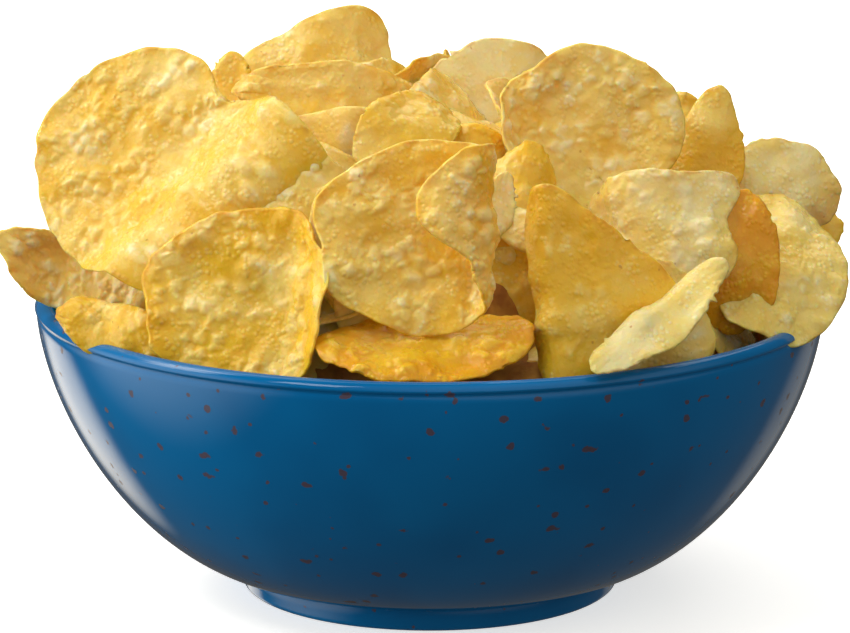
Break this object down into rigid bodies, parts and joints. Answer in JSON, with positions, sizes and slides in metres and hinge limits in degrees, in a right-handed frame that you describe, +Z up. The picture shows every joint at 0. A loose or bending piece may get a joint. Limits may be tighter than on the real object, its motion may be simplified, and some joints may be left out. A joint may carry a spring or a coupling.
{
  "type": "bowl of crisps",
  "caption": "Round glazed ceramic bowl on a low foot, heaped above its rim with bent, blistered potato crisps.",
  "frame": {"origin": "middle of the flat underside of the bowl's foot", "axes": "+Z up along the bowl's turned axis, -Y towards the side shown, +X to the right of that view"},
  "size_m": [0.2323, 0.22, 0.1586],
  "materials": {
    "blue_glaze": "glossy blue glaze with small brown speckles",
    "fried_potato": "golden fried potato, blistered and slightly oily"
  },
  "bodies": {
    "root": {"bowl": "blue_glaze", "crisps": "fried_potato"}
  },
  "joints": []
}
